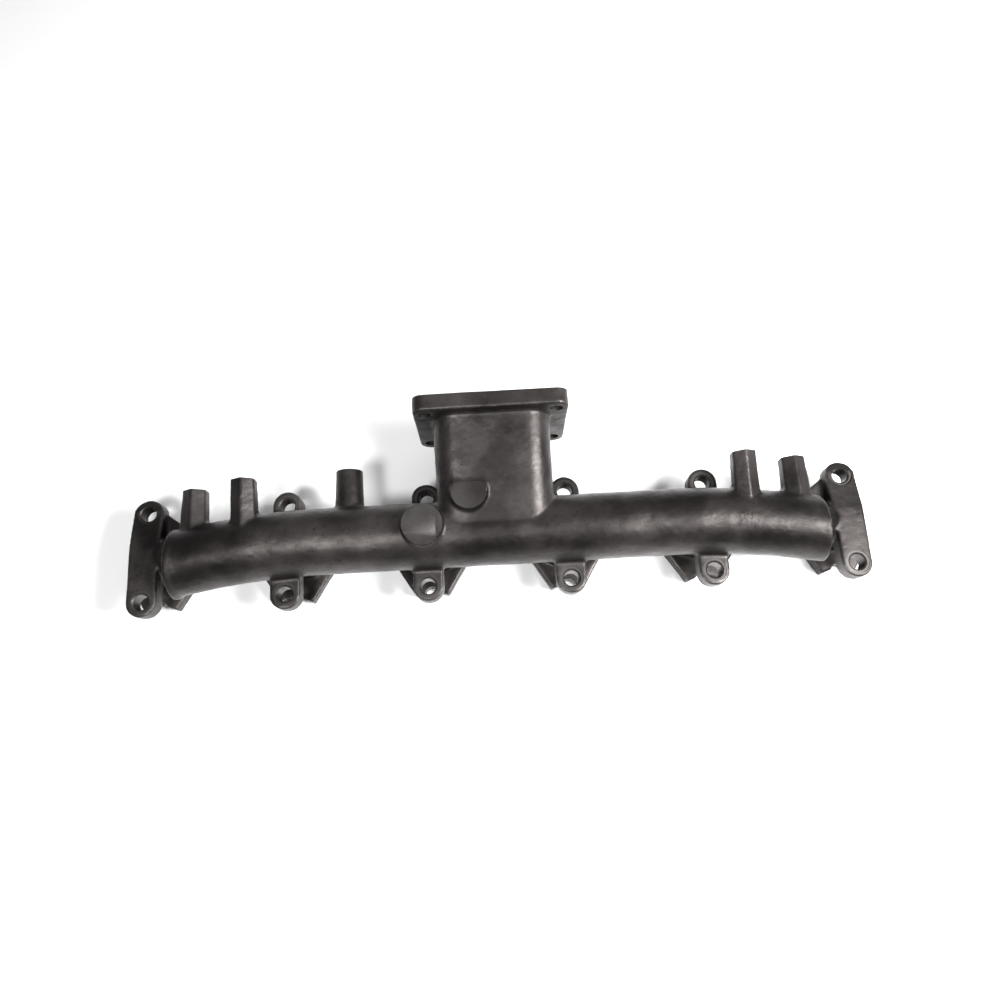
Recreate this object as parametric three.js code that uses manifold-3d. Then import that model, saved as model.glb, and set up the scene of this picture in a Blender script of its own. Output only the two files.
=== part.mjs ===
// Exhaust manifold for an in-line six-cylinder diesel engine, cast in one piece in grey iron.
// The casting is laid out as its regions: log, collector, riser, turbo flange, six port runners with
// their flanges, the bolt lugs, and the posts and bosses for the heat shield.
// Millimetres. X runs along the log, Y rises to the turbo flange, Z points away from the cylinder
// head, whose face is the plane Z = 0. The manifold lies on its six port faces.

import * as THREE from 'three';
import { mergeVertices } from 'three/addons/utils/BufferGeometryUtils.js';
import Module from 'manifold-3d';

const wasm = await Module();
wasm.setup();

// ---------------------------------------------------------------- driving dimensions

const GAP = 0.3;                 // left between neighbouring regions
const WALL = 6;                  // cast wall round the gas passages
const OVER = 2;                  // how far a cutter runs past the face it cuts

const CYLINDERS = 6;
const PITCH = 120;               // cylinder spacing along the engine
const BOLT_REACH = 10.5;         // from the outside of the log to the bolts' axis
const BOLT_HOLE = 13;            // clearance hole in the lugs

const PORT_WIDTH = 35;           // gas passage of one port, an oval that lies along the engine
const PORT_HEIGHT = 28;
const BORE_MARGIN = 8.3;         // by which the log's bore passes the ports' height, above and below
const LOG_Y = 3.4;               // log axis above the port centreline
const LOG_Z = 57;                // log axis above the head face
const LOG_SHORT = 28;            // the log ends this far inboard of the outermost bolts
const LOG_DROOP_FROM = 30;       // inboard of the second bolts, the log is straight up to here
const DROOP_RADIUS = 620;        // radius of the drooping ends

const RISER_WIDTH = 98;
const RISER_FOOT = -4;           // height of the riser's lowest section, inside the log
const RISER_SPLIT_RISE = 3.3;    // the collector ends and the riser starts this far above the log
const RISER_BACK = LOG_Z - 24;          // rear wall above the head face
const RISER_FRONT_LOW = LOG_Z + 25.5;   // front wall above the head face, at the foot
const RISER_FRONT_HIGH = LOG_Z + 50;    // and under the turbo flange
const RISER_CORNER = 20;
const DIVIDER = 6;               // wall between the two gas passages
const COLLECTOR_PAST_RISER = 9;  // on each side

const TURBO_OVERHANG = 15.2;     // of the turbo flange past the riser's sides
const TURBO_DEPTH = 94;
const TURBO_THICKNESS = 13.5;
const TURBO_CORNER = 9;
const TURBO_FACE = 106.4;        // height of the machined turbo face
const TURBO_CENTRE = LOG_Z + 13.5;      // flange centre above the head face
const TURBO_EDGE_X = 10;         // from the flange's sides to its stud holes
const TURBO_EDGE_Z = 13;         // and from its front and rear
const TURBO_HOLE = 11;

const PORT_INBOARD = 3;          // port centre, inboard of its bolts
const RUNNER_WALL = 5;
const RUNNER_RISE = LOG_Z - 49;         // height above the head face where the runner starts to turn
const RUNNER_BEND = 30;          // radius of that turn, on the centreline
const RUNNER_TURN = Math.PI / 3; // after it the runner climbs straight to the log's axis

const PORT_FLANGE = 12;          // thickness
const FLANGE_PAST_BOLTS = 1.7;   // by which the flange's ends pass the bolts' axis
const FLANGE_END_HALF = 14.5;    // half width at the ends
const FLANGE_SIDE_Y = 12;        // the widest stretch reaches this far up and down
const FLANGE_SIDE_HALF = 32;     // half width there
const NOTCH_DEPTH = 5.5;         // shallow V in each end, which lets the bolt pass
const BOLT_CLEARANCE = 1;        // round the bolt hole's size, in that V

const LUG_RADIUS = 13;
const LUG_THICKNESS = 16;
const UPPER_LUG_FACE = LOG_Z - 9;       // bolt seat above the head face, upper row
const LOWER_LUG_FACE = LOG_Z - 3;       // and lower row
const LUG_ROOT = 12;             // how far from the port centreline the lugs root in the log
const BAR_CREASE = 8;            // height where the end bars start to lean back
const WEB_THICKNESS = 8;         // web between an end bar's upper lug and the log
const WEB_TOP = 40;              // its height beside the lug
const WEB_END = 24;              // and where it runs out on the log
const WEB_REACH = 22;            // how far inboard of the lug that is

const POST_RADIUS = 11.2;        // across the corners of the shield posts, halved
const POST_DRAFT = 1.6;          // how much more that is at the root
const POST_TAP = 6.8;            // tapping hole for M8
const POST_TAP_DEPTH = 18;
const OUTER_POST = { inboard: 46.5, inset: 21.3, top: 51 };   // inboard of the outermost bolt, and
const INNER_POST = { inboard: 90.5, inset: 9.3, top: 55 };    // inset from the front of the log
const INNER_POST_ROOT = -17;     // the inner posts run down the front of the log to here
const ROUND_POST = { inboard: 55.5, inset: 29.3, top: 63.5 }; // inboard of the second bolt on the left

const BOSS_PROUD = 7.7;          // both bosses end this far in front of the log
const BOSS_CHAMFER = 2;
const SHIELD_BOSS = { beyond: 11.5, y: 5.5, radius: 17 }; // outboard of the riser's left side
const RISER_PAD = { x: -21.5, y: 31, radius: 15.5 };
const PAD_FOOT = 4;              // extra radius at the foot of the riser pad

const ROUND_SIDES = 24;          // facets on the large round forms
const HOLE_SIDES = 16;
const HEX_SIDES = 6;
const TAP_SIDES = 8;
const END_SIDES = 12;            // facets round one lug end
const CORNER_SIDES = 4;          // facets round one corner
const LOG_STEPS = 16;
const TURN_STEPS = 4;
const RUNNER_STEPS = 9;

// ---------------------------------------------------------------- what follows from them

const boltXs = Array.from({ length: CYLINDERS }, (_, i) => (i - (CYLINDERS - 1) / 2) * PITCH);
const LAST_BOLT = boltXs[CYLINDERS - 1];
const LOG_RADIUS = PORT_HEIGHT / 2 + BORE_MARGIN + WALL;
const BOLT_ROW = LOG_RADIUS + BOLT_REACH;       // from the port centreline to each bolt row
const FLANGE_END_Y = BOLT_ROW + FLANGE_PAST_BOLTS;
const LOG_END = LAST_BOLT - LOG_SHORT;
const LOG_STRAIGHT = boltXs[CYLINDERS - 2] - LOG_DROOP_FROM;
const BEND_END = (LOG_STRAIGHT + LOG_END) / 2;
const OUTER_POST_X = LAST_BOLT - OUTER_POST.inboard;
const INNER_POST_X = LAST_BOLT - INNER_POST.inboard;
const ROUND_POST_X = boltXs[1] + ROUND_POST.inboard;
const SHIELD_BOSS_X = -RISER_WIDTH / 2 - SHIELD_BOSS.beyond;
const LOG_FRONT = LOG_Z + LOG_RADIUS;
const BOSS_FACE = LOG_FRONT + BOSS_PROUD;
const RISER_SPLIT = LOG_Y + LOG_RADIUS + RISER_SPLIT_RISE;
const COLLECTOR_HALF = RISER_WIDTH / 2 + COLLECTOR_PAST_RISER;
const TURBO_WIDTH = RISER_WIDTH + 2 * TURBO_OVERHANG;
const TURBO_STUD_X = TURBO_WIDTH / 2 - TURBO_EDGE_X;
const TURBO_STUD_Z = TURBO_DEPTH / 2 - TURBO_EDGE_Z;
const TURBO_UNDERSIDE = TURBO_FACE - TURBO_THICKNESS;
const LOWEST_Y = -(BOLT_ROW + LUG_RADIUS);
const MIDDLE_Y = (LOWEST_Y + TURBO_FACE) / 2;
const FAR = 2 * LOG_END;

const iron = new THREE.MeshStandardMaterial({ color: 0x6a6663, roughness: 0.58, metalness: 0.85 });
const machined = new THREE.MeshStandardMaterial({ color: 0x85827f, roughness: 0.4, metalness: 0.95 });

// ---------------------------------------------------------------- solids

function solid(geometry) {
  const bare = geometry.clone();
  bare.deleteAttribute('normal');
  bare.deleteAttribute('uv');
  const merged = mergeVertices(bare);
  return new wasm.Manifold(new wasm.Mesh({
    numProp: 3,
    vertProperties: new Float32Array(merged.attributes.position.array),
    triVerts: new Uint32Array(merged.index.array),
  }));
}

function meshOf(name, body, material) {
  const { vertProperties, triVerts } = body.getMesh();
  const geometry = new THREE.BufferGeometry();
  geometry.setAttribute('position', new THREE.BufferAttribute(new Float32Array(vertProperties), 3));
  geometry.setIndex(new THREE.BufferAttribute(new Uint32Array(triVerts), 1));
  geometry.computeVertexNormals();
  const mesh = new THREE.Mesh(geometry, material);
  mesh.name = name;
  return mesh;
}

function joined(bodies) {
  return bodies.reduce((sum, body) => sum.add(body));
}

function cut(body, ...cutters) {
  return cutters.reduce((rest, cutter) => rest.subtract(cutter), body);
}

function block(x, y, z) {
  const geometry = new THREE.BoxGeometry(x[1] - x[0], y[1] - y[0], z[1] - z[0]);
  geometry.translate((x[0] + x[1]) / 2, (y[0] + y[1]) / 2, (z[0] + z[1]) / 2);
  return solid(geometry);
}

function slabAlongY(low, high) {
  return block([-FAR, FAR], [low, high], [-FAR, FAR]);
}

function slabAlongX(low, high) {
  return block([low, high], [-FAR, FAR], [-FAR, FAR]);
}

// A round rod parallel to Z. The radius may differ at its two ends.
function rodAlongZ(x, y, low, high, radius, sides = HOLE_SIDES, topRadius = radius) {
  const geometry = new THREE.CylinderGeometry(topRadius, radius, high - low, sides);
  geometry.rotateX(Math.PI / 2);
  geometry.translate(x, y, (low + high) / 2);
  return solid(geometry);
}

function rodAlongY(x, z, low, high, radius, sides = HOLE_SIDES, lowRadius = radius, turn = 0) {
  const geometry = new THREE.CylinderGeometry(radius, lowRadius, high - low, sides);
  geometry.rotateY(turn);
  geometry.translate(x, (low + high) / 2, z);
  return solid(geometry);
}

// ExtrudeGeometry draws every arc of a Shape with twice as many facets as its curveSegments.
function facets(count) {
  return { bevelEnabled: false, curveSegments: count / 2 };
}

// A plate parallel to the head face, from a Shape drawn in X and Y.
function plate(shape, low, high) {
  const options = { depth: high - low, ...facets(END_SIDES) };
  const geometry = new THREE.ExtrudeGeometry(shape, options);
  geometry.translate(0, 0, low);
  return solid(geometry);
}

// An oval swept along a path. Its width lies in the plane of the path's bend.
function sweep(path, halfWidth, halfHeight, steps) {
  const section = new THREE.Shape();
  section.absellipse(0, 0, halfHeight, halfWidth, 0, 2 * Math.PI);
  const options = { extrudePath: path, steps, ...facets(ROUND_SIDES) };
  return solid(new THREE.ExtrudeGeometry(section, options));
}

function roundedRectangle(width, height, corner) {
  const [w, h] = [width / 2, height / 2];
  const shape = new THREE.Shape();
  shape.moveTo(w, -h + corner);
  shape.absarc(w - corner, h - corner, corner, 0, Math.PI / 2);
  shape.absarc(-w + corner, h - corner, corner, Math.PI / 2, Math.PI);
  shape.absarc(-w + corner, -h + corner, corner, Math.PI, 1.5 * Math.PI);
  shape.absarc(w - corner, -h + corner, corner, 1.5 * Math.PI, 2 * Math.PI);
  return shape;
}

// ---------------------------------------------------------------- log

function logAxisY(x) {
  const past = Math.max(0, Math.abs(x) - LOG_STRAIGHT);
  return LOG_Y - past ** 2 / (2 * DROOP_RADIUS);
}

class LogAxis extends THREE.Curve {
  constructor(from, to) {
    super();
    this.from = from;
    this.to = to;
  }

  getPoint(t) {
    const x = this.from + (this.to - this.from) * t;
    return new THREE.Vector3(x, logAxisY(x), LOG_Z);
  }
}

function logForm(extra = 0, end = LOG_END) {
  const reach = LOG_END + LOG_RADIUS;
  const radius = LOG_RADIUS + extra;
  return sweep(new LogAxis(-reach, reach), radius, radius, LOG_STEPS).intersect(slabAlongX(-end, end));
}

// ---------------------------------------------------------------- riser

function riserFront(y) {
  const climb = (y - RISER_FOOT) / (TURBO_UNDERSIDE - RISER_FOOT);
  return RISER_FRONT_LOW + (RISER_FRONT_HIGH - RISER_FRONT_LOW) * climb;
}

// The riser is a rounded box whose front wall leans forward as it climbs. Its sections are one
// rounded rectangle, moved out to the front wall at each end.
function riserForm(extra = 0, low = RISER_FOOT, high = TURBO_UNDERSIDE) {
  const depthLow = riserFront(low) - RISER_BACK;
  const shape = roundedRectangle(RISER_WIDTH + 2 * extra, depthLow + 2 * extra, RISER_CORNER + extra);
  const options = { depth: high - low, ...facets(CORNER_SIDES) };
  const geometry = new THREE.ExtrudeGeometry(shape, options);
  geometry.rotateX(Math.PI / 2);
  geometry.translate(0, high, RISER_BACK + depthLow / 2);
  const place = geometry.attributes.position;
  const middle = RISER_BACK + depthLow / 2;
  for (let i = 0; i < place.count; i += 1) {
    if (place.getZ(i) > middle) {
      place.setZ(i, place.getZ(i) + riserFront(place.getY(i)) - riserFront(low));
    }
  }
  return solid(geometry);
}

// ---------------------------------------------------------------- port runners

function inboard(boltX) {
  return -Math.sign(boltX);
}

function portX(boltX) {
  return boltX + inboard(boltX) * PORT_INBOARD;
}

// The centreline rises square to the head, turns inboard and runs straight on to the log's axis.
function runnerAxis(boltX) {
  const x = portX(boltX);
  const side = inboard(boltX);
  const points = [new THREE.Vector3(x, 0, -OVER)];
  for (let i = 0; i <= TURN_STEPS; i += 1) {
    const angle = (RUNNER_TURN * i) / TURN_STEPS;
    const across = RUNNER_BEND * (1 - Math.cos(angle));
    points.push(new THREE.Vector3(x + side * across, 0, RUNNER_RISE + RUNNER_BEND * Math.sin(angle)));
  }
  const turned = points[points.length - 1];
  const endX = turned.x + side * (LOG_Z - turned.z) * Math.tan(RUNNER_TURN);
  points.push(new THREE.Vector3(endX, logAxisY(endX), LOG_Z));
  return new THREE.CatmullRomCurve3(points);
}

function runnerForm(boltX, wall) {
  return sweep(runnerAxis(boltX), PORT_WIDTH / 2 + wall, PORT_HEIGHT / 2 + wall, RUNNER_STEPS);
}

// ---------------------------------------------------------------- port flanges

// A six-sided flange, widest beside the port. A shallow V with a round root in each end lets the
// bolt pass on its way from the lug to the head.
function portFlangeForm(boltX) {
  const corners = [
    [FLANGE_END_HALF, FLANGE_END_Y],
    [0, FLANGE_END_Y - NOTCH_DEPTH],
    [-FLANGE_END_HALF, FLANGE_END_Y],
    [-FLANGE_SIDE_HALF, FLANGE_SIDE_Y],
  ];
  const outline = [...corners, ...corners.map(([x, y]) => [-x, -y])];
  const shape = new THREE.Shape(outline.map(([x, y]) => new THREE.Vector2(boltX + x, y)));
  const bolts = [BOLT_ROW, -BOLT_ROW].map((y) => (
    rodAlongZ(boltX, y, -OVER, PORT_FLANGE + OVER, BOLT_HOLE / 2 + BOLT_CLEARANCE)));
  return cut(plate(shape, 0, PORT_FLANGE - GAP), ...bolts);
}

// ---------------------------------------------------------------- lugs and end bars

function lugOutline(boltX, row, radius) {
  const shape = new THREE.Shape();
  if (row > 0) {
    shape.moveTo(boltX - radius, LUG_ROOT);
    shape.lineTo(boltX + radius, LUG_ROOT);
    shape.absarc(boltX, row, radius, 0, Math.PI);
  } else {
    shape.absarc(boltX, row, radius, Math.PI, 2 * Math.PI);
    shape.lineTo(boltX + radius, -LUG_ROOT);
    shape.lineTo(boltX - radius, -LUG_ROOT);
  }
  return shape;
}

function lugForm(boltX, row, extra = 0) {
  const face = row > 0 ? UPPER_LUG_FACE : LOWER_LUG_FACE;
  return plate(lugOutline(boltX, row, LUG_RADIUS + extra), face - LUG_THICKNESS - extra, face + extra);
}

function boltHole(boltX, row) {
  return rodAlongZ(boltX, row, -OVER, LOWER_LUG_FACE + OVER, BOLT_HOLE / 2);
}

function barOutline(boltX, radius) {
  const shape = new THREE.Shape();
  shape.absarc(boltX, BOLT_ROW, radius, 0, Math.PI);
  shape.absarc(boltX, -BOLT_ROW, radius, Math.PI, 2 * Math.PI);
  return shape;
}

// Seen from the side the bar is flat up to its crease, and leans back above it so that its face
// passes through the upper bolt seat. In front of its face it can be taken further, by reach.
function barForm(boltX, extra = 0, reach = 0) {
  const lean = (LOWER_LUG_FACE - UPPER_LUG_FACE) / (BOLT_ROW - BAR_CREASE);
  const end = BOLT_ROW + LUG_RADIUS + OVER;
  const drop = lean * (end - BAR_CREASE);
  const front = LOWER_LUG_FACE + extra + reach;
  const back = LOWER_LUG_FACE - LUG_THICKNESS - extra;
  const side = [[-end, front], [BAR_CREASE, front], [end, front - drop],
    [end, back - drop], [BAR_CREASE, back], [-end, back]];
  const shape = new THREE.Shape(side.map(([y, z]) => new THREE.Vector2(y, z)));
  const width = 2 * (LUG_RADIUS + OVER);
  const geometry = new THREE.ExtrudeGeometry(shape, { depth: width, bevelEnabled: false });
  geometry.applyMatrix4(new THREE.Matrix4().makeBasis(
    new THREE.Vector3(0, 1, 0), new THREE.Vector3(0, 0, 1), new THREE.Vector3(1, 0, 0)));
  geometry.translate(boltX - width / 2, 0, 0);
  return plate(barOutline(boltX, LUG_RADIUS + extra), -FAR, FAR).intersect(solid(geometry));
}

// A low web runs from each end bar's upper lug to the top of the log.
function webForm(boltX) {
  const side = inboard(boltX);
  const corners = [[0, LUG_ROOT], [LUG_RADIUS + WEB_REACH, LUG_ROOT], [LUG_RADIUS + WEB_REACH, WEB_END],
    [LUG_RADIUS, WEB_TOP], [0, WEB_TOP]];
  const points = corners.map(([x, y]) => new THREE.Vector2(boltX + side * x, y));
  const outline = side > 0 ? points : points.reverse();
  return plate(new THREE.Shape(outline), UPPER_LUG_FACE - LUG_THICKNESS,
    UPPER_LUG_FACE - LUG_THICKNESS + WEB_THICKNESS);
}

// ---------------------------------------------------------------- shield posts and bosses

// A post is turned so that one of its flats, and not a corner, looks away from the head.
function shieldPost(x, post, root, sides) {
  const z = LOG_FRONT - post.inset;
  const turn = Math.PI / sides;
  const form = rodAlongY(x, z, root, post.top, POST_RADIUS, sides, POST_RADIUS + POST_DRAFT, turn);
  const tapping = rodAlongY(x, z, post.top - POST_TAP_DEPTH, post.top + OVER, POST_TAP / 2, TAP_SIDES);
  return cut(form, tapping);
}

function bossForm(x, boss, foot) {
  const shank = rodAlongZ(x, boss.y, LOG_Z, BOSS_FACE - BOSS_CHAMFER, boss.radius + foot,
    ROUND_SIDES, boss.radius);
  const rim = rodAlongZ(x, boss.y, BOSS_FACE - BOSS_CHAMFER, BOSS_FACE, boss.radius,
    ROUND_SIDES, boss.radius - BOSS_CHAMFER);
  return shank.add(rim);
}

// ---------------------------------------------------------------- the gas passages

const runnerPassages = boltXs.map((x) => runnerForm(x, 0));
const riserPassage = riserForm(-WALL, LOG_Y, TURBO_FACE + OVER);
const logPassage = logForm(-WALL, LOG_END - WALL);
const passages = joined([logPassage, riserPassage, ...runnerPassages]);

// ---------------------------------------------------------------- outer forms, used to trim neighbours

const log = logForm();
const logTrim = logForm(GAP, LOG_END + GAP);
const riser = riserForm();
const riserTrim = riserForm(GAP);
const runnerTrims = boltXs.map((x) => runnerForm(x, RUNNER_WALL + GAP));

// ---------------------------------------------------------------- assembly

const manifold = new THREE.Group();

function place(name, body, material = iron) {
  manifold.add(meshOf(name, body, material));
}

const stretchOfLog = (low, high) => cut(log.intersect(slabAlongX(low, high)), passages);
place('log_end_left', stretchOfLog(-FAR, -BEND_END - GAP));
place('log_bend_left', stretchOfLog(-BEND_END, -LOG_STRAIGHT - GAP));
place('log_tube_left', stretchOfLog(-LOG_STRAIGHT, -COLLECTOR_HALF));
place('log_tube_right', stretchOfLog(COLLECTOR_HALF, LOG_STRAIGHT));
place('log_bend_right', stretchOfLog(LOG_STRAIGHT + GAP, BEND_END));
place('log_end_right', stretchOfLog(BEND_END + GAP, FAR));

const collectorSpan = slabAlongX(-COLLECTOR_HALF + GAP, COLLECTOR_HALF - GAP);
const collectorForm = log.intersect(collectorSpan).add(riser.intersect(slabAlongY(-FAR, RISER_SPLIT)));
const collector = cut(collectorForm, passages);
place('collector_left', collector.intersect(slabAlongX(-FAR, -GAP / 2)));
place('collector_right', collector.intersect(slabAlongX(GAP / 2, FAR)));
place('turbo_riser', cut(riser.intersect(slabAlongY(RISER_SPLIT + GAP, TURBO_UNDERSIDE - GAP)), passages));

const dividerSlab = slabAlongX(-DIVIDER / 2, DIVIDER / 2);
const dividerBody = logForm(-WALL - GAP, LOG_END - WALL)
  .add(riserForm(-WALL - GAP, LOG_Y, TURBO_FACE));
place('divider_wall', dividerBody.intersect(dividerSlab));

const turboShape = roundedRectangle(TURBO_WIDTH, TURBO_DEPTH, TURBO_CORNER);
const turboPlate = new THREE.ExtrudeGeometry(turboShape, {
  depth: TURBO_THICKNESS, ...facets(CORNER_SIDES),
});
turboPlate.rotateX(Math.PI / 2);
turboPlate.translate(0, TURBO_FACE, TURBO_CENTRE);
const turboHoles = [-1, 1].flatMap((sx) => [-1, 1].map((sz) => rodAlongY(
  sx * TURBO_STUD_X, TURBO_CENTRE + sz * TURBO_STUD_Z,
  TURBO_UNDERSIDE - OVER, TURBO_FACE + OVER, TURBO_HOLE / 2)));
place('turbo_flange', cut(solid(turboPlate), passages, ...turboHoles), machined);

const aboveFlanges = block([-FAR, FAR], [-FAR, FAR], [PORT_FLANGE, FAR]);
boltXs.forEach((x, i) => {
  const atEnd = i === 0 || i === CYLINDERS - 1;
  const fixings = atEnd
    ? [barForm(x, GAP, FAR)]
    : [lugForm(x, BOLT_ROW, GAP), lugForm(x, -BOLT_ROW, GAP)];
  const runner = runnerForm(x, RUNNER_WALL).intersect(aboveFlanges);
  place(`port_runner_${i + 1}`, cut(runner, passages, logTrim, riserTrim, ...fixings));
  place(`port_flange_${i + 1}`, cut(portFlangeForm(x), passages));
  if (atEnd) {
    const bar = cut(webForm(x), runnerTrims[i]).add(barForm(x));
    const holes = [boltHole(x, BOLT_ROW), boltHole(x, -BOLT_ROW)];
    place(`end_bar_${x < 0 ? 'left' : 'right'}`, cut(bar, ...holes, passages, logTrim));
  } else {
    const rows = [['upper', BOLT_ROW], ['lower', -BOLT_ROW]];
    rows.forEach(([row, y]) => {
      const lug = cut(lugForm(x, y), boltHole(x, y), passages, logTrim, riserTrim);
      place(`${row}_lug_${i + 1}`, lug);
    });
  }
});

const outerRoot = logAxisY(OUTER_POST_X);
const posts = [
  shieldPost(-OUTER_POST_X, OUTER_POST, outerRoot, HEX_SIDES),
  shieldPost(-INNER_POST_X, INNER_POST, INNER_POST_ROOT, HEX_SIDES),
  shieldPost(ROUND_POST_X, ROUND_POST, LOG_Y, HOLE_SIDES),
  shieldPost(INNER_POST_X, INNER_POST, INNER_POST_ROOT, HEX_SIDES),
  shieldPost(OUTER_POST_X, OUTER_POST, outerRoot, HEX_SIDES),
];
posts.forEach((post, i) => place(`shield_post_${i + 1}`, cut(post, logTrim, ...runnerTrims)));

place('shield_boss', cut(bossForm(SHIELD_BOSS_X, SHIELD_BOSS, 0), logTrim, riserTrim), machined);
place('riser_pad', cut(bossForm(RISER_PAD.x, RISER_PAD, PAD_FOOT), logTrim, riserTrim), machined);

manifold.position.set(0, -MIDDLE_Y, 0);

export default manifold;
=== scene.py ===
# %% [markdown]
# # A cast-iron exhaust manifold
# The real part is poured in one mould around sand cores and machined afterwards. This lesson follows
# the foundry: a rough blank is built from overlapping forms, its corners are softened as sand
# softens them, the gas passages are cored out, and only then are the crisp faces and holes cut.
# The finished casting is divided into its named regions at the end, so that every fillet runs on
# from one region into the next.

# %% Load the frame
import math

import bpy
import numpy as np
from mathutils import Matrix, Vector


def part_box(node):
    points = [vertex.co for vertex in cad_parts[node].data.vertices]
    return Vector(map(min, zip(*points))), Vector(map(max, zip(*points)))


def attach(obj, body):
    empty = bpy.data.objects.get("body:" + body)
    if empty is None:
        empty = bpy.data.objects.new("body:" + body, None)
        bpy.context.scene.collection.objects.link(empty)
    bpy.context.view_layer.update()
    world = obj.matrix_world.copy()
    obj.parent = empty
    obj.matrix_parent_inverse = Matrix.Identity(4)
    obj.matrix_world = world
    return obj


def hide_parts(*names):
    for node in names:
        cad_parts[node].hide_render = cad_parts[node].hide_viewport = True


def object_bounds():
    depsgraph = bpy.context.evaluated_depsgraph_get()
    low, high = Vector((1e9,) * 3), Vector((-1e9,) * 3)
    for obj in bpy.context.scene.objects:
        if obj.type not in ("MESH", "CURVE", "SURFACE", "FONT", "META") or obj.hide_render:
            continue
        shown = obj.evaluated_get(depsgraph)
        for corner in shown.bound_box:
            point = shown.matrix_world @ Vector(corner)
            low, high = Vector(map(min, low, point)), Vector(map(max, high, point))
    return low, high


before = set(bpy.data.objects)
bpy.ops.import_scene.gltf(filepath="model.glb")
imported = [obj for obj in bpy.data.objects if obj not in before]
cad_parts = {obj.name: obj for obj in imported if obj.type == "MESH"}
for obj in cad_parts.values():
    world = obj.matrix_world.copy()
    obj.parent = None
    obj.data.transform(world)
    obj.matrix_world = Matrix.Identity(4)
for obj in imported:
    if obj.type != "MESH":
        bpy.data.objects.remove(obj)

cad_box = [list(corner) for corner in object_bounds()]
MM = 0.001
print("the frame's box", cad_box)

# %% [markdown]
# ## Places from the frame
# Bolt positions, the log's axis and the turbo face are read from the frame's regions, so the
# casting sits exactly where the design says. Only sizes that the regions' boxes do not show are
# named here.

# %% Measure the frame
def middle(node):
    low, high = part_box(node)
    return (low + high) / 2


BOLT_X = [middle(f"port_flange_{i}").x for i in range(1, 7)]
PORT_Y = middle("port_flange_1").y
LOG_LOW, LOG_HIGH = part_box("log_tube_left")
LOG_R = (LOG_HIGH.z - LOG_LOW.z) / 2
LOG_Z = (LOG_HIGH.z + LOG_LOW.z) / 2
LOG_Y = LOG_HIGH.y - LOG_R
LOG_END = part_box("log_end_right")[1].x
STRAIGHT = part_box("log_tube_right")[1].x
END_DROP = LOG_Y - LOG_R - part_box("log_end_right")[0].y
FLANGE_LOW, FLANGE_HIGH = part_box("turbo_flange")
RISER_LOW, RISER_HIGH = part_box("turbo_riser")
COLLECTOR_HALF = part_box("collector_right")[1].x
BEND_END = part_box("log_bend_right")[1].x
LUG_R = (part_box("upper_lug_2")[1].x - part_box("upper_lug_2")[0].x) / 2
BOLT_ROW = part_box("upper_lug_2")[1].y - LUG_R - PORT_Y
UPPER_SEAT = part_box("upper_lug_2")[1].z
LOWER_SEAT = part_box("lower_lug_2")[1].z
PORT_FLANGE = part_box("port_flange_1")[1].z
BOSS_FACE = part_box("shield_boss")[1].z

WALL = 6 * MM
BOLT_R = 6.5 * MM
LUG_DEEP = 16 * MM
SPARE = 2.5 * MM          # iron left on a face for the cutter to take off
print("bolts at", [round(x, 3) for x in BOLT_X], "log radius", round(LOG_R, 4), "row", round(BOLT_ROW, 4))

# %% [markdown]
# ## Helpers
# Every form starts as a primitive at its size and place. The helpers deselect first, because an
# operator acts on all that is selected.

# %% Forms
def only(obj):
    bpy.ops.object.select_all(action="DESELECT")
    obj.select_set(True)
    bpy.context.view_layer.objects.active = obj


def settled(name):
    obj = bpy.context.active_object
    obj.name = name
    bpy.ops.object.transform_apply(location=True, rotation=True, scale=True)
    return obj


def block(name, x, y, z):
    bpy.ops.object.select_all(action="DESELECT")
    spans = (sorted(x), sorted(y), sorted(z))
    bpy.ops.mesh.primitive_cube_add(size=1, location=[sum(s) / 2 for s in spans],
                                    scale=[s[1] - s[0] for s in spans])
    return settled(name)


TURNS = {"X": (0, math.pi / 2, 0), "Y": (-math.pi / 2, 0, 0), "Z": (0, 0, 0)}


def rod(name, axis, base, length, radius, end_radius=None, sides=64):
    bpy.ops.object.select_all(action="DESELECT")
    along = {"X": Vector((1, 0, 0)), "Y": Vector((0, 1, 0)), "Z": Vector((0, 0, 1))}[axis]
    bpy.ops.mesh.primitive_cone_add(vertices=sides, radius1=radius, depth=length,
                                    radius2=radius if end_radius is None else end_radius,
                                    location=Vector(base) + along * length / 2, rotation=TURNS[axis])
    return settled(name)


def edit(obj):
    only(obj)
    bpy.ops.object.mode_set(mode="EDIT")


def done(obj):
    bpy.ops.object.mode_set(mode="OBJECT")
    return obj


def pick(obj, test, kind="VERT"):
    """Selects, in edit mode, the vertices or faces whose place passes the test."""
    bpy.ops.mesh.select_mode(type=kind)
    bpy.ops.mesh.select_all(action="DESELECT")
    bpy.ops.object.mode_set(mode="OBJECT")
    parts = obj.data.vertices if kind == "VERT" else obj.data.polygons
    for part in parts:
        part.select = bool(test(part.co if kind == "VERT" else part.center))
    bpy.ops.object.mode_set(mode="EDIT")


def outward(obj):
    edit(obj)
    bpy.ops.mesh.select_all(action="SELECT")
    bpy.ops.mesh.remove_doubles(threshold=1e-6)
    bpy.ops.mesh.normals_make_consistent(inside=False)
    return done(obj)


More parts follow.
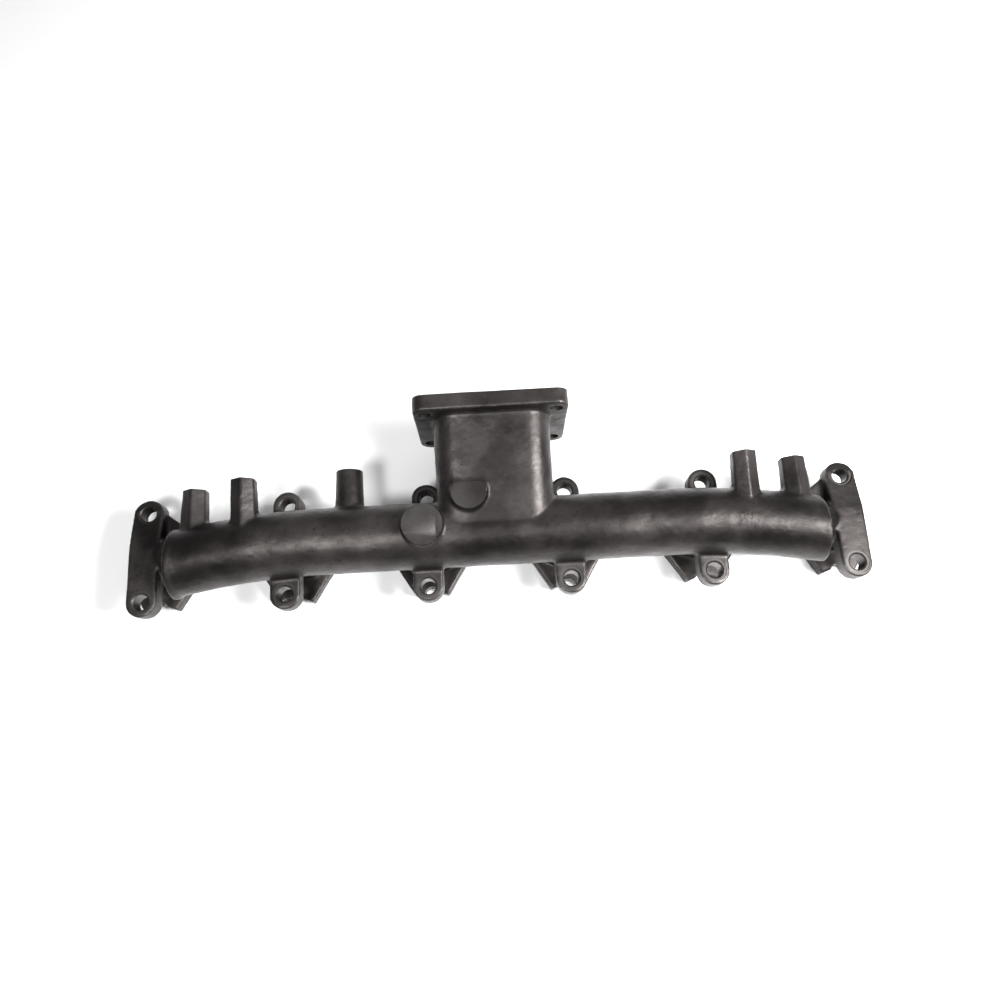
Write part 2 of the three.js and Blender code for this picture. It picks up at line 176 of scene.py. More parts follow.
def slot_form(name, x, y, radius, z):
    """An outline with two round ends at the heights in y, between the two levels in z."""
    bpy.ops.object.select_all(action="DESELECT")
    bpy.ops.mesh.primitive_circle_add(vertices=64, radius=radius, fill_type="NGON",
                                      location=(x, sum(y) / 2, z[0]))
    obj = settled(name)
    edit(obj)
    half = (y[1] - y[0]) / 2
    pick(obj, lambda v: v.y > sum(y) / 2 + 1e-5)
    bpy.ops.transform.translate(value=(0, half, 0))
    pick(obj, lambda v: v.y < sum(y) / 2 - 1e-5)
    bpy.ops.transform.translate(value=(0, -half, 0))
    bpy.ops.mesh.select_all(action="SELECT")
    bpy.ops.mesh.extrude_region_move(TRANSFORM_OT_translate={"value": (0, 0, z[1] - z[0])})
    done(obj)
    return outward(obj)


def discard(obj):
    mesh = obj.data
    bpy.data.objects.remove(obj)
    if mesh.users == 0:
        bpy.data.meshes.remove(mesh)


def carve(obj, tool, operation="DIFFERENCE", keep=False):
    only(obj)
    step = obj.modifiers.new("carve", "BOOLEAN")
    step.operation = operation
    step.solver = "MANIFOLD"
    step.object = tool
    bpy.ops.object.modifier_apply(modifier=step.name)
    if not keep:
        discard(tool)
    return obj


def merged(name, forms):
    bpy.ops.object.select_all(action="DESELECT")
    for form in forms:
        form.select_set(True)
    bpy.context.view_layer.objects.active = forms[0]
    bpy.ops.object.join()
    bpy.context.active_object.name = name
    return bpy.context.active_object


print("helpers ready")

# %% [markdown]
# ## The log
# The log is a pipe that droops at both ends. A round face is extruded along it in short steps, each
# step falling a little further, which is how a smooth bend is made from straight moves.

# %% Log form
def log_y(x):
    past = max(0.0, abs(x) - STRAIGHT)
    return LOG_Y - END_DROP * (past / (LOG_END - STRAIGHT)) ** 2


def log_form(name, radius, end, steps=44):
    bpy.ops.object.select_all(action="DESELECT")
    bpy.ops.mesh.primitive_circle_add(vertices=96, radius=radius, fill_type="NGON",
                                      location=(-end, log_y(end), LOG_Z), rotation=TURNS["X"])
    obj = settled(name)
    edit(obj)
    bpy.ops.mesh.select_all(action="SELECT")
    for i in range(steps):
        here, there = (-end + 2 * end * n / steps for n in (i, i + 1))
        move = (there - here, log_y(there) - log_y(here), 0)
        bpy.ops.mesh.extrude_region_move(TRANSFORM_OT_translate={"value": move})
    done(obj)
    return outward(obj)


blank = [log_form("log_blank", LOG_R, LOG_END)]
cores = [log_form("log_core", LOG_R - WALL, LOG_END - WALL)]
print("log", len(blank[0].data.polygons), "faces")

# %% [markdown]
# ## The riser
# A box whose four upright edges are bevelled round, with its front wall pulled forward at the top.
# The two passages inside it are the same form, smaller, with a wall left between them.

# %% Riser form
RISER_CORNER = 20 * MM
RISER_FOOT = PORT_Y - 4 * MM
RISER_FRONT_LOW = LOG_Z + 25.5 * MM
RISER_LEAN = RISER_HIGH.z - RISER_FRONT_LOW
RISER_HALF = RISER_HIGH.x
DIVIDER_HALF = 3 * MM


def riser_form(name, shrink, low, high):
    rise = (high - RISER_FOOT) / (RISER_HIGH.y - RISER_FOOT)
    start = (low - RISER_FOOT) / (RISER_HIGH.y - RISER_FOOT)
    front = RISER_FRONT_LOW + RISER_LEAN * start - shrink
    obj = block(name, (-RISER_HALF + shrink, RISER_HALF - shrink), (low, high), (RISER_LOW.z + shrink, front))
    corner = RISER_CORNER - shrink
    edit(obj)
    bpy.ops.mesh.select_mode(type="EDGE")
    bpy.ops.mesh.select_all(action="DESELECT")
    bpy.ops.object.mode_set(mode="OBJECT")
    for edge in obj.data.edges:
        ends = [obj.data.vertices[v].co for v in edge.vertices]
        edge.select = abs(ends[0].y - ends[1].y) > (high - low) / 2
    bpy.ops.object.mode_set(mode="EDIT")
    bpy.ops.mesh.bevel(offset=corner, segments=10, affect="EDGES")
    centre = (RISER_LOW.z + front) / 2
    pick(obj, lambda v: v.y > high - 1e-5 and v.z > centre)
    bpy.ops.transform.translate(value=(0, 0, RISER_LEAN * (rise - start)))
    done(obj)
    return outward(obj)


blank.append(riser_form("riser_blank", 0, RISER_FOOT, FLANGE_LOW.y + 2 * MM))
TOP_CUT = FLANGE_HIGH.y + SPARE + 2 * MM
riser_core = riser_form("riser_core", WALL, LOG_Y, TOP_CUT)
print("riser leans forward by", round(RISER_LEAN, 4))

# %% [markdown]
# ## The turbo flange
# A thick rectangular plate with rounded corners. It keeps some spare iron on top, which the mill
# takes off later, so the finished face stays sharp while the rest stays soft.

# %% Flange form
def upright_edges(obj, axis):
    bpy.ops.mesh.select_mode(type="EDGE")
    bpy.ops.mesh.select_all(action="DESELECT")
    bpy.ops.object.mode_set(mode="OBJECT")
    for edge in obj.data.edges:
        a, b = (obj.data.vertices[v].co for v in edge.vertices)
        along = (b - a).normalized()
        edge.select = abs(along[axis]) > 0.9
    bpy.ops.object.mode_set(mode="EDIT")


plate = block("flange_blank", (FLANGE_LOW.x, FLANGE_HIGH.x), (FLANGE_LOW.y, FLANGE_HIGH.y + SPARE),
              (FLANGE_LOW.z, FLANGE_HIGH.z))
edit(plate)
upright_edges(plate, 1)
bpy.ops.mesh.bevel(offset=10 * MM, segments=8, affect="EDGES")
blank.append(done(plate))
print("flange", [round(v, 4) for v in FLANGE_HIGH - FLANGE_LOW])

# %% [markdown]
# ## Port runners
# Each runner leaves the head square, turns sixty degrees inboard and runs into the log. The oval is
# extruded, spun round the bend and extruded again; the core is the same path with no wall.

# %% Runner form
PORT_HALF = Vector((17.5, 14)) * MM
PORT_INBOARD = 3 * MM
RUNNER_WALL = 5 * MM
RUNNER_RISE = LOG_Z - 49 * MM
RUNNER_BEND = 30 * MM
RUNNER_TURN = math.radians(60)


def runner_form(name, bolt_x, wall):
    side = -math.copysign(1, bolt_x)
    x = bolt_x + side * PORT_INBOARD
    bpy.ops.object.select_all(action="DESELECT")
    base = (x, PORT_Y, -SPARE * 2)
    bpy.ops.mesh.primitive_circle_add(vertices=64, radius=PORT_HALF.x + wall, fill_type="NGON", location=base)
    obj = settled(name)
    edit(obj)
    bpy.ops.mesh.select_all(action="SELECT")
    upright = (PORT_HALF.y + wall) / (PORT_HALF.x + wall)
    bpy.ops.transform.resize(value=(1, upright, 1), center_override=base)
    bpy.ops.mesh.extrude_region_move(TRANSFORM_OT_translate={"value": (0, 0, RUNNER_RISE + SPARE * 2)})
    # The spin operator turns against its axis, so a bend that climbs needs a negative angle.
    bpy.ops.mesh.spin(steps=8, angle=-RUNNER_TURN, center=(x + side * RUNNER_BEND, PORT_Y, RUNNER_RISE),
                      axis=(0, side, 0))
    turned_z = RUNNER_RISE + RUNNER_BEND * math.sin(RUNNER_TURN)
    climb = LOG_Z - turned_z
    turned_x = x + side * RUNNER_BEND * (1 - math.cos(RUNNER_TURN))
    end_x = turned_x + side * climb * math.tan(RUNNER_TURN)
    move = (end_x - turned_x, log_y(end_x) - PORT_Y, climb)
    bpy.ops.mesh.extrude_region_move(TRANSFORM_OT_translate={"value": move})
    done(obj)
    return outward(obj)


for i, x in enumerate(BOLT_X, 1):
    blank.append(runner_form(f"runner_blank_{i}", x, RUNNER_WALL))
    cores.append(runner_form(f"runner_core_{i}", x, 0))
spread = [v.co.z for v in blank[-1].data.vertices]
print("runner from", round(min(spread), 4), "to", round(max(spread), 4))

# %% [markdown]
# ## Port flanges
# A six-sided foot on each runner. A block's two ends are extruded and narrowed to the six-sided
# outline, and a shallow V is cut in each end so that the bolt can pass.

# %% Port flange form
FOOT_SIDE = Vector((32, 12)) * MM
FOOT_END = Vector((14.5, 40.5)) * MM
NOTCH = 5.5 * MM


def foot_form(name, bolt_x):
    obj = block(name, (bolt_x - FOOT_SIDE.x, bolt_x + FOOT_SIDE.x), (PORT_Y - FOOT_SIDE.y, PORT_Y + FOOT_SIDE.y),
                (-SPARE, PORT_FLANGE))
    edit(obj)
    for way in (1, -1):
        pick(obj, lambda c: (c.y - PORT_Y) * way > FOOT_SIDE.y - 1e-5, "FACE")
        reach = way * (FOOT_END.y - FOOT_SIDE.y)
        bpy.ops.mesh.extrude_region_move(TRANSFORM_OT_translate={"value": (0, reach, 0)})
        bpy.ops.transform.resize(value=(FOOT_END.x / FOOT_SIDE.x, 1, 1),
                                 center_override=(bolt_x, PORT_Y, 0))
    done(obj)
    outward(obj)
    for way in (1, -1):
        bpy.ops.object.select_all(action="DESELECT")
        centre = (bolt_x, PORT_Y + way * FOOT_END.y, 0)
        bpy.ops.mesh.primitive_cylinder_add(vertices=4, radius=NOTCH, depth=60 * MM, location=centre)
        tool = settled("notch")
        edit(tool)
        bpy.ops.mesh.select_all(action="SELECT")
        bpy.ops.transform.resize(value=(FOOT_END.x / NOTCH, 1, 1), center_override=centre)
        carve(obj, done(tool))
    return obj


blank += [foot_form(f"foot_blank_{i}", x) for i, x in enumerate(BOLT_X, 1)]
print("six port flanges")

# %% [markdown]
# ## Bolt lugs and end bars
# The middle lugs are round-ended tongues that root in the log. At each end the two lugs become one
# upright bar, which leans back above its middle because the upper bolts seat lower.

# %% Lugs and bars
LUG_ROOT = 12 * MM
BAR_CREASE = 8 * MM


def lug_form(name, bolt_x, way):
    seat = UPPER_SEAT if way > 0 else LOWER_SEAT
    ends = sorted((PORT_Y + way * LUG_ROOT, PORT_Y + way * BOLT_ROW))
    return slot_form(name, bolt_x, ends, LUG_R, (seat - LUG_DEEP, seat + 0.8 * MM))


def bar_form(name, bolt_x):
    reach = BOLT_ROW + LUG_R + 2 * MM
    obj = block(name, (bolt_x - 2 * LUG_R, bolt_x + 2 * LUG_R), (PORT_Y - reach, PORT_Y + BAR_CREASE),
                (LOWER_SEAT - LUG_DEEP, LOWER_SEAT + 0.8 * MM))
    lean = (LOWER_SEAT - UPPER_SEAT) / (BOLT_ROW - BAR_CREASE)
    edit(obj)
    pick(obj, lambda c: c.y > PORT_Y + BAR_CREASE - 1e-5, "FACE")
    bpy.ops.mesh.extrude_region_move(
        TRANSFORM_OT_translate={"value": (0, reach - BAR_CREASE, -lean * (reach - BAR_CREASE))})
    done(obj)
    outward(obj)
    outline = slot_form("outline", bolt_x, (PORT_Y - BOLT_ROW, PORT_Y + BOLT_ROW), LUG_R, (0, 90 * MM))
    return carve(obj, outline, "INTERSECT")


def web_form(name, bolt_x):
    """The low web from an end bar's upper lug to the top of the log."""
    side = -math.copysign(1, bolt_x)
    base = UPPER_SEAT - LUG_DEEP
    obj = block(name, (bolt_x, bolt_x + side * LUG_R), (PORT_Y + LUG_ROOT, PORT_Y + 40 * MM), (base, base + 8 * MM))
    edit(obj)
    pick(obj, lambda c: abs(c.x - (bolt_x + side * LUG_R)) < 1e-5, "FACE")
    bpy.ops.mesh.extrude_region_move(TRANSFORM_OT_translate={"value": (side * 22 * MM, 0, 0)})
    pick(obj, lambda v: abs(v.x - (bolt_x + side * (LUG_R + 22 * MM))) < 1e-5 and v.y > PORT_Y + 30 * MM)
    bpy.ops.transform.translate(value=(0, -16 * MM, 0))
    done(obj)
    return outward(obj)


for i, x in enumerate(BOLT_X, 1):
    if i in (1, 6):
        blank += [bar_form(f"bar_blank_{i}", x), web_form(f"web_blank_{i}", x)]
    else:
        blank += [lug_form(f"lug_blank_{i}_{way}", x, way) for way in (1, -1)]
print(len(blank), "forms in the blank so far")

# %% [markdown]
# ## Shield posts and bosses
# Posts stand up to carry a heat shield. Four are six-sided and one is round. They are thicker at the
# root, as every cast post is, so that it draws out of the sand. The log's left end has a low rim.

# %% Posts and bosses
POST_R = 11.7 * MM          # half a millimetre over, for what the softening takes off
POST_DRAFT = 1.6 * MM
COLUMN_SINK = 10 * MM      # the inner posts' feet lean this far back and fade into the log
POSTS = [f"shield_post_{i}" for i in range(1, 6)]


def post_centre(node):
    low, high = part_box(node)
    return (low.x + high.x) / 2, (low.z + high.z) / 2


POST_Z = {1: LOG_Z + 7 * MM, 2: LOG_Z + 19 * MM, 3: LOG_Z - 1 * MM, 4: LOG_Z + 19 * MM, 5: LOG_Z + 7 * MM}
POST_FOOT = {1: LOG_Y - 9 * MM, 2: PORT_Y - 17 * MM, 3: LOG_Y, 4: PORT_Y - 17 * MM, 5: LOG_Y - 9 * MM}
for i, node in enumerate(POSTS, 1):
    x, top = post_centre(node)[0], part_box(node)[1].y
    height = top + SPARE - POST_FOOT[i]
    post = rod(f"post_blank_{i}", "Y", (x, POST_FOOT[i], POST_Z[i]), height, POST_R + POST_DRAFT,
               POST_R, sides=48 if i == 3 else 6)
    if i in (2, 4):
        edit(post)
        pick(post, lambda v: v.y < POST_FOOT[i] + 1e-5)
        bpy.ops.transform.translate(value=(0, 0, -COLUMN_SINK))
        done(post)
    blank.append(post)

BOSS_AT, BOSS_R = Vector((-RISER_HALF - 11.5 * MM, PORT_Y + 5.5 * MM)), 17 * MM
PAD_AT, PAD_R, PAD_FOOT = Vector((-21.5 * MM, PORT_Y + 31 * MM)), 15.5 * MM, 4 * MM
BOSS_REACH = BOSS_FACE + SPARE - LOG_Z
blank.append(rod("boss_blank", "Z", (*BOSS_AT, LOG_Z), BOSS_REACH, BOSS_R))
blank.append(rod("pad_blank", "Z", (*PAD_AT, LOG_Z), BOSS_REACH - 1.8 * MM, PAD_R + PAD_FOOT, PAD_R))

RIM_WIDTH, RIM_PROUD = 5 * MM, 1.3 * MM
blank.append(rod("rim_blank", "X", (-LOG_END, log_y(LOG_END), LOG_Z), RIM_WIDTH, LOG_R + RIM_PROUD))
print(len(blank), "forms in the blank")

# %% [markdown]
# ## Pour the casting
# The forms are joined and remeshed into one skin of small even faces, then smoothed. Sand cannot
# hold a sharp corner, so every edge comes out rounded and every joint filleted. A slow wave of a
# few tenths of a millimetre gives the skin the unevenness of a real casting.

# %% Remesh and soften
VOXEL = 1.2 * MM
casting = merged("casting", blank)


def modified(obj, kind, **settings):
    only(obj)
    step = obj.modifiers.new(kind.lower(), kind)
    for key, value in settings.items():
        setattr(step, key, value)
    bpy.ops.object.modifier_apply(modifier=step.name)
    return obj


modified(casting, "REMESH", mode="VOXEL", voxel_size=VOXEL)
modified(casting, "SMOOTH", factor=0.5, iterations=9)
wave = bpy.data.textures.new("sand_wave", "CLOUDS")
wave.noise_scale = 0.018
modified(casting, "DISPLACE", texture=wave, strength=0.7 * MM, mid_level=0.8, texture_coords="LOCAL")
grit = bpy.data.textures.new("sand_grit", "CLOUDS")
grit.noise_scale = 0.0035
modified(casting, "DISPLACE", texture=grit, strength=0.22 * MM, mid_level=0.8, texture_coords="LOCAL")
print("casting", len(casting.data.polygons), "faces")

# %% [markdown]
# ## Core out the passages
# The passages are joined and remeshed in the same way, so their junctions are rounded too, and then
# taken out of the casting. The wall between the two risers stays as iron.

# %% Cores
core = merged("core", cores + [riser_core])
modified(core, "REMESH", mode="VOXEL", voxel_size=1.5 * MM)
modified(core, "SMOOTH", factor=0.5, iterations=4)
wall_slab = block("wall_slab", (-DIVIDER_HALF, DIVIDER_HALF), (-0.2, 0.2), (-0.1, 0.3))
carve(core, wall_slab)
carve(casting, core)
print("cored casting", len(casting.data.polygons), "faces")

# %% [markdown]
# ## Machine the faces and holes
# Cutting tools leave flat faces and sharp rims, which is what sets machined iron apart from cast
# skin. Each tool is a plain form a little longer than its cut. The first one is the design's own
# box: it faces the ports and the turbo flange, and keeps the skin inside the design's size.

# %% Mill and drill
FAR = 0.4
WHOLE = (-FAR, FAR)


def cut_with(tools):
    """Tools that do not touch each other are joined and cut in one pass."""
    carve(casting, merged("tools", tools))


def tool_rod(axis, base, length, radius, end_radius=None):
    return rod("tool_rod", axis, base, length, radius, end_radius, sides=48)


POST_AT = [(post_centre(node)[0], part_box(node)[1].y, POST_Z[i]) for i, node in enumerate(POSTS, 1)]
BOLTS = [(x, PORT_Y + way * BOLT_ROW, seat) for x in BOLT_X for way, seat in ((1, UPPER_SEAT), (-1, LOWER_SEAT))]
STUD_EDGE = Vector((10, 13)) * MM          # from the flange's sides to its stud holes
STUD_X = (FLANGE_LOW.x + STUD_EDGE.x, FLANGE_HIGH.x - STUD_EDGE.x)
STUD_Z = (FLANGE_LOW.z + STUD_EDGE.y, FLANGE_HIGH.z - STUD_EDGE.y)
STUDS = [(x, z) for x in STUD_X for z in STUD_Z]
SEAT_R, RIM = 9.8 * MM, 1.4 * MM
ENVELOPE = tuple(zip(*cad_box))
carve(casting, block("envelope", *ENVELOPE), "INTERSECT")

# The riser's front leans through the pad's face, so that face ends in a straight edge at the top.
pad_top = RISER_FOOT + (BOSS_FACE - RISER_FRONT_LOW) / RISER_LEAN * (RISER_HIGH.y - RISER_FOOT)
pad_mill = tool_rod("Z", (PAD_AT.x, PAD_AT.y - 1.3 * MM, BOSS_FACE), 12 * MM, 14.3 * MM)
carve(pad_mill, block("above", WHOLE, (pad_top, FAR), WHOLE))
cut_with([tool_rod("Z", (*BOSS_AT, BOSS_FACE), 20 * MM, BOSS_R + 3 * MM), pad_mill])

# The lower third of the round boss falls away towards the log.
bevel_y = BOSS_AT.y - 7.2 * MM
bevel = block("bevel", (BOSS_AT.x - 24 * MM, -RISER_HALF - 0.5 * MM), (bevel_y - 16 * MM, bevel_y),
              (BOSS_FACE, BOSS_FACE + 10 * MM))
edit(bevel)
pick(bevel, lambda v: v.z < BOSS_FACE + 1e-5 and v.y < bevel_y - 1e-5)
bpy.ops.transform.translate(value=(0, 0, -10 * MM))
cut_with([done(bevel)])
cut_with([tool_rod("Y", (x, top, z), 12 * MM, 14 * MM) for x, top, z in POST_AT])
cut_with([tool_rod("Y", (x, top - 18 * MM, z), 30 * MM, 3.4 * MM) for x, top, z in POST_AT])
cut_with([tool_rod("Z", (x, y, -10 * MM), 90 * MM, BOLT_R) for x, y, seat in BOLTS])
cut_with([tool_rod("Z", (x, y, seat), 20 * MM, SEAT_R) for x, y, seat in BOLTS])
cut_with([tool_rod("Z", (x, y, seat - RIM), RIM + 0.1 * MM, BOLT_R, BOLT_R + RIM) for x, y, seat in BOLTS])
cut_with([tool_rod("Y", (x, FLANGE_LOW.y - 8 * MM, z), 40 * MM, 5.5 * MM) for x, z in STUDS])
print("machined casting", len(casting.data.polygons), "faces")

# %% [markdown]
# ## Where the iron is worn, lit and shaded
# Edges that stand out are painted bright, partly as wear and partly as a painted highlight, and inner corners are
# painted dark as painted shade. How far each vertex stands out from its neighbours says which it is. It is measured
# on the whole casting, before it is divided, so that the painted wear, highlight and shade run on over the borders
# of the regions.

# %% Measure the wear
WEAR_HIGHLIGHT_SHADE_SPREAD = 3


def measure_wear_highlight_shade(obj):
    mesh = obj.data
    count = len(mesh.vertices)
    place, normal = np.empty(count * 3), np.empty(count * 3)
    mesh.vertices.foreach_get("co", place)
    mesh.vertices.foreach_get("normal", normal)
    place, normal = place.reshape(-1, 3), normal.reshape(-1, 3)
    ends = np.empty(len(mesh.edges) * 2, dtype=np.int32)
    mesh.edges.foreach_get("vertices", ends)
    one, other = ends.reshape(-1, 2).T
    apart = place[one] - place[other]
    apart /= np.linalg.norm(apart, axis=1, keepdims=True) + 1e-9

    def gather(to_one, to_other):
        return np.bincount(one, to_one, count) + np.bincount(other, to_other, count)

    edges = gather(np.ones(len(one)), np.ones(len(one)))
    wear_highlight_shade = gather((normal[one] * apart).sum(1), -(normal[other] * apart).sum(1)) / edges
    for _ in range(WEAR_HIGHLIGHT_SHADE_SPREAD):
        wear_highlight_shade = (wear_highlight_shade + gather(wear_highlight_shade[other], wear_highlight_shade[one]) / edges) / 2
    # This attribute drives the painted highlight and wear on edges and the painted shade in hollows.
    mesh.attributes.new("wear_highlight_shade", "FLOAT", "POINT").data.foreach_set("value", wear_highlight_shade.astype(np.float32))
    return wear_highlight_shade


wear_highlight_shade = measure_wear_highlight_shade(casting)
print("wear from", wear_highlight_shade.min().round(2), "to", wear_highlight_shade.max().round(2), "half under", np.median(wear_highlight_shade).round(4),
      "a tenth over", np.quantile(wear_highlight_shade, 0.9).round(3))

# %% [markdown]
# ## Name the regions
# The casting is divided along simple planes into the regions that the design names. Each cutter
# takes its region off what is left, so nothing is counted twice and no gap opens.

# %% Divide
PIECES = {}


def inside(spans):
    """A test of whether a place is in the block that the three spans make."""
    return lambda c: all(min(s) - 1e-6 <= v <= max(s) + 1e-6 for v, s in zip(c, spans))


def part_off(regions):
    """Blocks that do not touch each other take their regions off the casting in one pass."""
    tool = merged("tool", [block("tool", *spans) for spans in regions.values()])
    only(casting)
    bpy.ops.object.duplicate()
    taken = bpy.context.active_object
    carve(taken, tool, "INTERSECT", keep=True)
    carve(casting, tool)
    for name, spans in regions.items():
        edit(taken)
        pick(taken, inside(spans), "FACE")
        bpy.ops.mesh.separate(type="SELECTED")
        done(taken)
        piece = next(obj for obj in bpy.context.selected_objects if obj is not taken)
        piece.name = name + "_cast"
        PIECES[name] = piece
    print(", ".join(regions), "parted;", len(taken.data.polygons), "faces in none of them")
    discard(taken)


def outboard(x, near, far):
    """A span of X from near to far, measured outboard of x."""
    out = math.copysign(1, x)
    return x + out * near, x + out * far


part_off({"turbo_flange": (WHOLE, (FLANGE_LOW.y, FAR), WHOLE)})
part_off({f"port_flange_{i}": (outboard(x, -34 * MM, 34 * MM), WHOLE, (-0.01, PORT_FLANGE))
          for i, x in enumerate(BOLT_X, 1)})

fixings = {}
for i, x in enumerate(BOLT_X, 1):
    if i in (1, 6):
        side = "left" if x < 0 else "right"
        fixings[f"end_bar_{side}"] = (outboard(x, -25.5 * MM, 0.1), WHOLE, (30 * MM, FAR))
    else:
        near = max(abs(x) - 17 * MM, RISER_HALF + 0.5 * MM) - abs(x)
        span = outboard(x, near, 17 * MM)
        fixings[f"upper_lug_{i}"] = (span, (LOG_Y + 20 * MM, FAR), (28 * MM, UPPER_SEAT + 3 * MM))
        fixings[f"lower_lug_{i}"] = (span, (-FAR, LOG_Y - 26 * MM), (28 * MM, FAR))
part_off(fixings)
part_off({f"port_runner_{i}": (outboard(x, -48 * MM, 34 * MM), WHOLE, (PORT_FLANGE, 33 * MM))
          for i, x in enumerate(BOLT_X, 1)})
part_off({node: ((x - 15 * MM, x + 15 * MM), (log_y(x) + LOG_R - 0.5 * MM, FAR), (28 * MM, FAR))
          for node, (x, top, z) in zip(POSTS, POST_AT)})

boss_x, boss_y = BOSS_AT
pad_x, pad_y = PAD_AT
part_off({
    "shield_boss": ((boss_x - 20 * MM, -RISER_HALF - 0.5 * MM), (boss_y - 20 * MM, boss_y + 20 * MM),
                    (LOG_Z + LOG_R + 1 * MM, FAR)),
    "riser_pad": ((pad_x - 18 * MM, pad_x + 18 * MM), (pad_y - 18 * MM, pad_top + 2 * MM), (89.5 * MM, FAR)),
})
part_off({"divider_wall": ((-DIVIDER_HALF, DIVIDER_HALF), (LOG_Y - LOG_R + 8 * MM, FLANGE_LOW.y),
                           (40 * MM, 76 * MM))})
part_off({"turbo_riser": ((-RISER_HALF - 8 * MM, RISER_HALF + 8 * MM), (RISER_LOW.y, FAR), WHOLE)})

# Neighbouring stretches touch, so every second one is parted first.
CUTS = [-FAR, -BEND_END, -STRAIGHT, -COLLECTOR_HALF, 0, COLLECTOR_HALF, STRAIGHT, BEND_END, FAR]
STRETCHES = ["log_end_left", "log_bend_left", "log_tube_left", "collector_left",
             "collector_right", "log_tube_right", "log_bend_right", "log_end_right"]
spans = {name: (CUTS[i:i + 2], WHOLE, WHOLE) for i, name in enumerate(STRETCHES)}
part_off({name: spans[name] for name in STRETCHES[::2]})
part_off({name: spans[name] for name in STRETCHES[1::2]})
for name, piece in PIECES.items():
    print(name, len(piece.data.polygons))
print("left over", len(casting.data.polygons))
discard(casting)

# %% [markdown]
# ## Materials
# Bare cast iron is dark and brown-grey. It is never even: large cloudy stains, fine sand grain and
# small dark pits break it up. Edges are painted bright, partly as wear and partly as a painted highlight, and inner
# corners get painted shade. The stains and the grain come from the piece's own coordinates, and the painted wear,
# highlight and shade from the measure taken above.

# %% Cast iron
def iron_material(name, dark, light, wear_highlight_tone, rough, grain):
    material = bpy.data.materials.new(name)
    material.use_nodes = True
    nodes, links = material.node_tree.nodes, material.node_tree.links
    shader = nodes["Principled BSDF"]
    shader.inputs["Metallic"].default_value = 0.8
    place = nodes.new("ShaderNodeTexCoord")
    if wear_highlight_tone:
        wear_highlight_shade_node = nodes.new("ShaderNodeAttribute")
        wear_highlight_shade_node.attribute_name = "wear_highlight_shade"

    def noise(scale, detail, roughness=0.6):
        node = nodes.new("ShaderNodeTexNoise")
        node.inputs["Scale"].default_value = scale
        node.inputs["Detail"].default_value = detail
        node.inputs["Roughness"].default_value = roughness
        links.new(place.outputs["Object"], node.inputs["Vector"])
        return node.outputs["Fac"]

    def spread(value, low, high, to_low=0.0, to_high=1.0):
        node = nodes.new("ShaderNodeMapRange")
        for socket, number in (("From Min", low), ("From Max", high), ("To Min", to_low), ("To Max", to_high)):
            node.inputs[socket].default_value = number
        links.new(value, node.inputs["Value"])
        return node.outputs["Result"]

    def times(one, other):
        node = nodes.new("ShaderNodeMath")
        node.operation = "MULTIPLY"
        links.new(one, node.inputs[0])
        links.new(other, node.inputs[1])
        return node.outputs["Value"]

    def blend(amount, under, over, kind="MIX"):
        node = nodes.new("ShaderNodeMix")
        node.data_type = "RGBA"
        node.blend_type = kind
        for socket, value in (("Factor", amount), ("A", under), ("B", over)):
            if isinstance(value, (tuple, float)):
                inputs = [put for put in node.inputs if put.name == socket and put.enabled]
                inputs[0].default_value = value
            else:
                inputs = [put for put in node.inputs if put.name == socket and put.enabled]
                links.new(value, inputs[0])
        return [out for out in node.outputs if out.enabled][0]

    stains = spread(noise(16, 4, 0.55), 0.36, 0.66)
    colour = blend(stains, (*dark, 1), (*light, 1))
    pits = spread(noise(420, 4, 0.65), 0.28, 0.40)
    colour = blend(pits, (*[tone * 0.7 for tone in dark], 1), colour)
    # Convex edges are painted a lighter tone, partly real wear and partly a painted highlight; hollows are painted
    # darker as painted shade.
    if wear_highlight_tone:
        wear_highlight_mask = times(spread(wear_highlight_shade_node.outputs["Fac"], 0.07, 0.28), spread(noise(95, 4), 0.38, 0.62, 0.25, 1))
        colour = blend(wear_highlight_mask, colour, (*wear_highlight_tone, 1))
        # Painted shade: inner corners and creases are multiplied darker, down to three tenths of their colour.
        crease_shade_mask = spread(wear_highlight_shade_node.outputs["Fac"], -0.2, -0.03, 0.3, 1)
        shade = nodes.new("ShaderNodeCombineColor")
        for socket in ("Red", "Green", "Blue"):
            links.new(crease_shade_mask, shade.inputs[socket])
        colour = blend(1.0, colour, shade.outputs["Color"], "MULTIPLY")
    links.new(colour, shader.inputs["Base Color"])
    links.new(spread(noise(45, 6, 0.65), 0.3, 0.7, rough - 0.1, rough + 0.14), shader.inputs["Roughness"])
    bump = nodes.new("ShaderNodeBump")
    bump.inputs["Strength"].default_value = grain
    bump.inputs["Distance"].default_value = 0.0004
    links.new(noise(650, 5, 0.7), bump.inputs["Height"])
    links.new(bump.outputs["Normal"], shader.inputs["Normal"])
    return material


CAST = iron_material("cast_skin", (0.013, 0.011, 0.0105), (0.057, 0.051, 0.049), (0.17, 0.158, 0.15), 0.4, 0.4)
MILLED = iron_material("milled_face", (0.03, 0.027, 0.026), (0.07, 0.065, 0.063), None, 0.38, 0.15)
print("materials", CAST.name, MILLED.name)


def milled(face):
    """A cutter leaves faces far larger than the small ones of the cast skin."""
    return face.area > (2 * VOXEL) ** 2


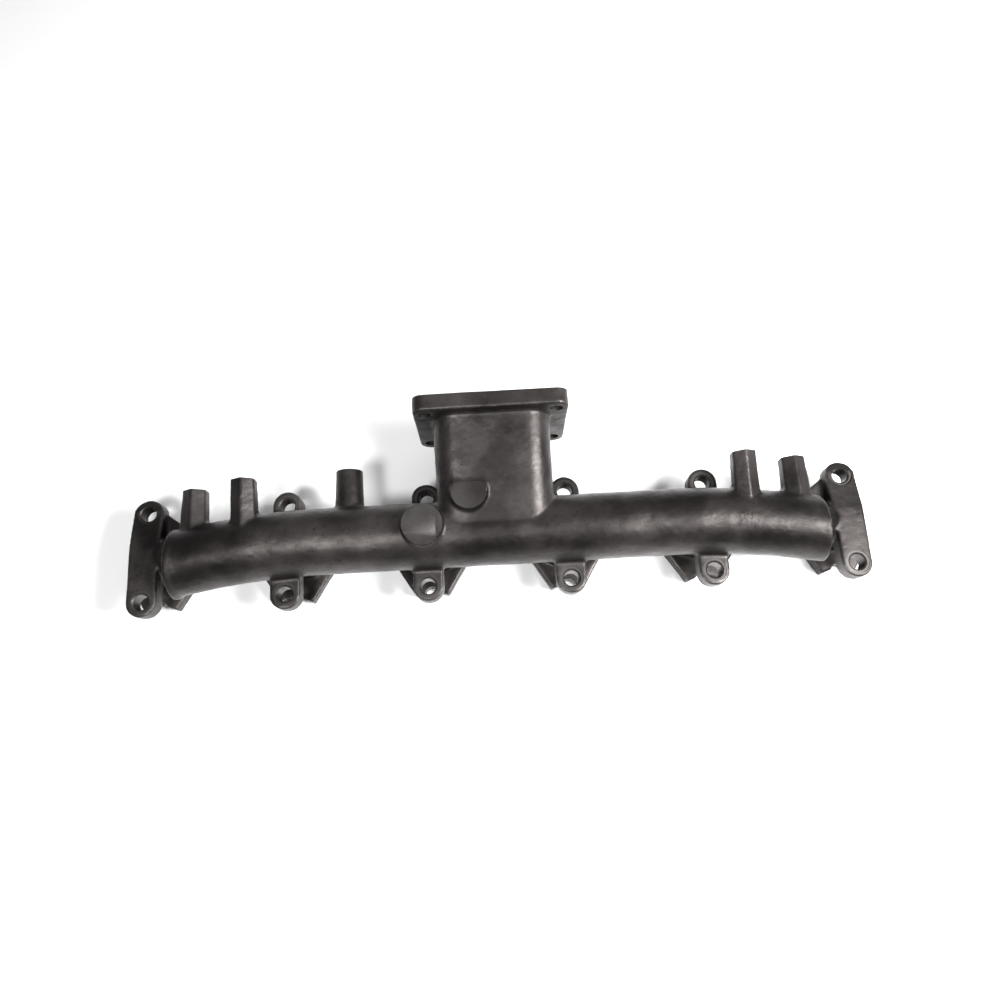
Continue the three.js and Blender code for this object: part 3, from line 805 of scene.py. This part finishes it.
for name, piece in PIECES.items():
    piece.data.materials.clear()
    piece.data.materials.append(CAST)
    piece.data.materials.append(MILLED)
    for face in piece.data.polygons:
        face.material_index = 1 if milled(face) else 0
    only(piece)
    bpy.ops.object.shade_smooth_by_angle(angle=math.radians(35))
    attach(piece, "root")
    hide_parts(name)
print(len(PIECES), "pieces dressed")

# %% [markdown]
# ## Floor, light and camera
# A plain pale floor and soft lights: the brightest from the right, a small one near the camera that
# draws a streak along the left half of the log, and a broad weak one from above. The camera looks
# down on the manifold as it lies on its port faces, a little from below its middle.

# %% Stage
floor = block("floor", (-6, 6), (-6, 6), (-0.02, -0.0005))
pale = bpy.data.materials.new("pale_floor")
pale.use_nodes = True
pale.node_tree.nodes["Principled BSDF"].inputs["Base Color"].default_value = (0.9, 0.9, 0.9, 1)
pale.node_tree.nodes["Principled BSDF"].inputs["Roughness"].default_value = 0.9
floor.data.materials.append(pale)


def soft_light(name, place, size, power):
    light = bpy.data.lights.new(name, "AREA")
    light.size = size
    light.energy = power
    lamp = bpy.data.objects.new(name, light)
    lamp.location = place
    lamp.rotation_euler = (Vector((0, 0, 0.05)) - Vector(place)).to_track_quat("-Z", "Y").to_euler()
    bpy.context.scene.collection.objects.link(lamp)


soft_light("key", (0.62, -0.2, 0.8), 0.36, 25)
soft_light("streak", (-0.26, -0.3, 0.82), 0.14, 5.5)
soft_light("fill", (0.1, 0.9, 1.3), 1.2, 4)
world = bpy.data.worlds.new("studio")
world.use_nodes = True
world.node_tree.nodes["Background"].inputs["Color"].default_value = (1, 1, 1, 1)
world.node_tree.nodes["Background"].inputs["Strength"].default_value = 0.28
bpy.context.scene.world = world
bpy.context.scene.view_settings.view_transform = "Standard"

# %% Camera
TILT, ROLL, YAW = 0.270, 0.058, -0.007
lens = bpy.data.cameras.new("camera")
lens.lens = 30.17
lens.sensor_width = 36
camera = bpy.data.objects.new("camera", lens)
turn = Matrix.Rotation(YAW, 4, "Y") @ Matrix.Rotation(TILT, 4, "X") @ Matrix.Rotation(-ROLL, 4, "Z")
camera.matrix_world = Matrix.Translation((-0.001, -0.187, 0.7464)) @ turn
bpy.context.scene.collection.objects.link(camera)
bpy.context.scene.camera = camera
print("camera set")
